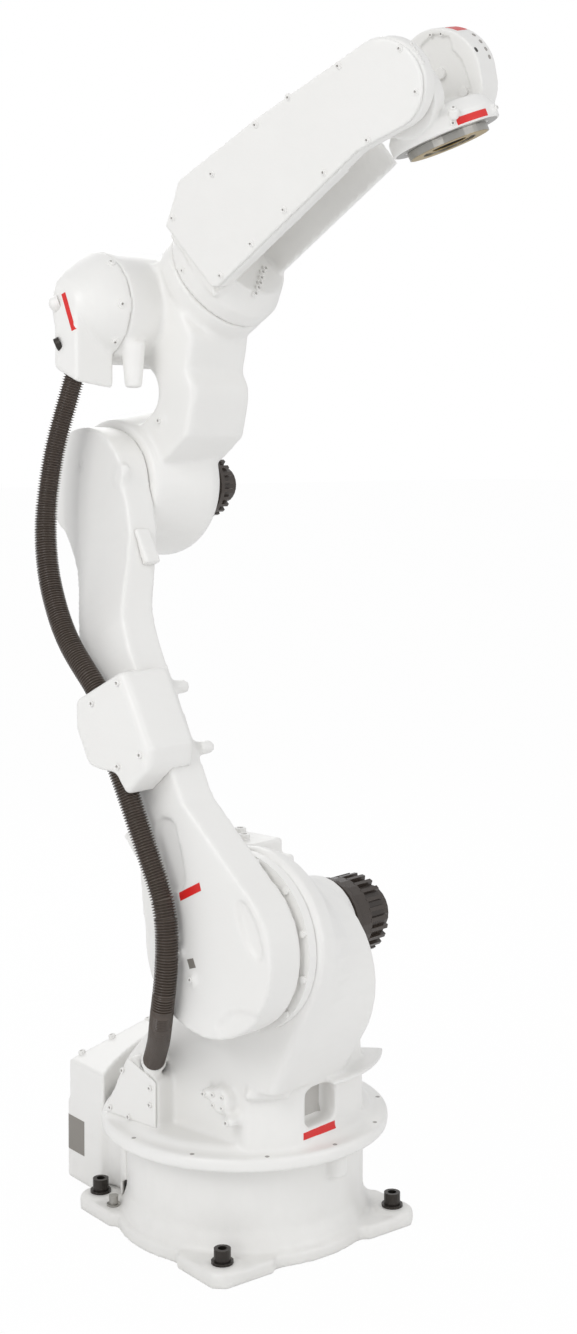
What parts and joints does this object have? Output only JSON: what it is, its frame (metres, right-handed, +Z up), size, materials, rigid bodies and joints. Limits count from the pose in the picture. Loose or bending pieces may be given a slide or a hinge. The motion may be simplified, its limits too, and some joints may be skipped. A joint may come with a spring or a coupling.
{
  "type": "industrial robot arm",
  "caption": "Floor-standing six-axis jointed robot arm with swivelling base, offset shoulder, hollow wrist and round tool flange",
  "frame": {"origin": "centre of the base plate's underside, on the turning axis at floor level", "axes": "+X is the base's forward direction, away from the connector box, +Y is to the left, +Z is up"},
  "size_m": [0.7833, 0.5344, 1.8682],
  "materials": {
    "paint": "satin off-white paint on castings",
    "black_steel": "blackened steel",
    "motor_black": "satin black motor housing",
    "bright_steel": "zinc-plated steel",
    "rubber": "ribbed hose, dark brown",
    "brass": "machined, yellow passivated"
  },
  "bodies": {
    "base": {"base_casting": "paint", "anchor_bolt_1": "black_steel", "anchor_bolt_2": "black_steel", "anchor_bolt_3": "black_steel", "anchor_bolt_4": "black_steel", "earth_bolt": "bright_steel", "connector_box": "paint", "connector_panel": "paint", "power_socket": "bright_steel", "signal_socket": "bright_steel"},
    "swivel": {"swivel_casting": "paint", "wiring_end_plate": "paint", "shoulder_reducer": "paint", "shoulder_motor": "motor_black", "shoulder_motor_cap": "motor_black", "swivel_motor": "motor_black", "swivel_motor_cap": "motor_black", "stop_block": "paint", "hose_lower": "rubber"},
    "lower_arm": {"lower_arm_casting": "paint", "elbow_stop_bar": "paint", "hose_clamp_cover": "paint", "hose_upper": "rubber"},
    "elbow": {"elbow_housing": "paint", "cable_cover": "paint", "elbow_motor": "motor_black", "elbow_motor_cap": "motor_black"},
    "forearm": {"forearm_casting": "paint", "belt_cover": "paint"},
    "wrist": {"wrist_casting": "paint", "wrist_dome_cover": "paint"},
    "tool": {"tool_flange": "brass", "tool_flange_hub": "brass"}
  },
  "joints": [
    {"name": "swivel_turn", "type": "hinge", "parent": "base", "child": "swivel", "pos_m": [0, 0, 0.156], "axis": [0, 0, 1], "range_deg": [-189.9, 170.1]},
    {"name": "shoulder_lean", "type": "hinge", "parent": "swivel", "child": "lower_arm", "pos_m": [0.14777, 0.02579, 0.505], "axis": [-0.1719, 0.9851, 0], "range_deg": [-62.55, 182.45], "deforming": ["hose_lower"]},
    {"name": "elbow_lift", "type": "hinge", "parent": "lower_arm", "child": "elbow", "pos_m": [-0.19736, -0.03444, 1.17943], "axis": [0.1719, -0.9851, 0], "range_deg": [-91.32, 154.68], "deforming": ["hose_upper"]},
    {"name": "forearm_roll", "type": "hinge", "parent": "elbow", "child": "forearm", "pos_m": [-0.304, -0.05306, 1.3476], "axis": [0.8283, 0.1446, 0.5413], "range_deg": [-215.8, 184.2]},
    {"name": "wrist_bend", "type": "hinge", "parent": "forearm", "child": "wrist", "pos_m": [0.35452, 0.06187, 1.77791], "axis": [0.3106, -0.9226, -0.2289], "range_deg": [-43.5, 256.5]},
    {"name": "tool_turn", "type": "hinge", "parent": "wrist", "child": "tool", "pos_m": [0.35452, 0.06187, 1.77791], "axis": [0.2118, 0.302, -0.9295], "range_deg": [-455, 455]}
  ]
}
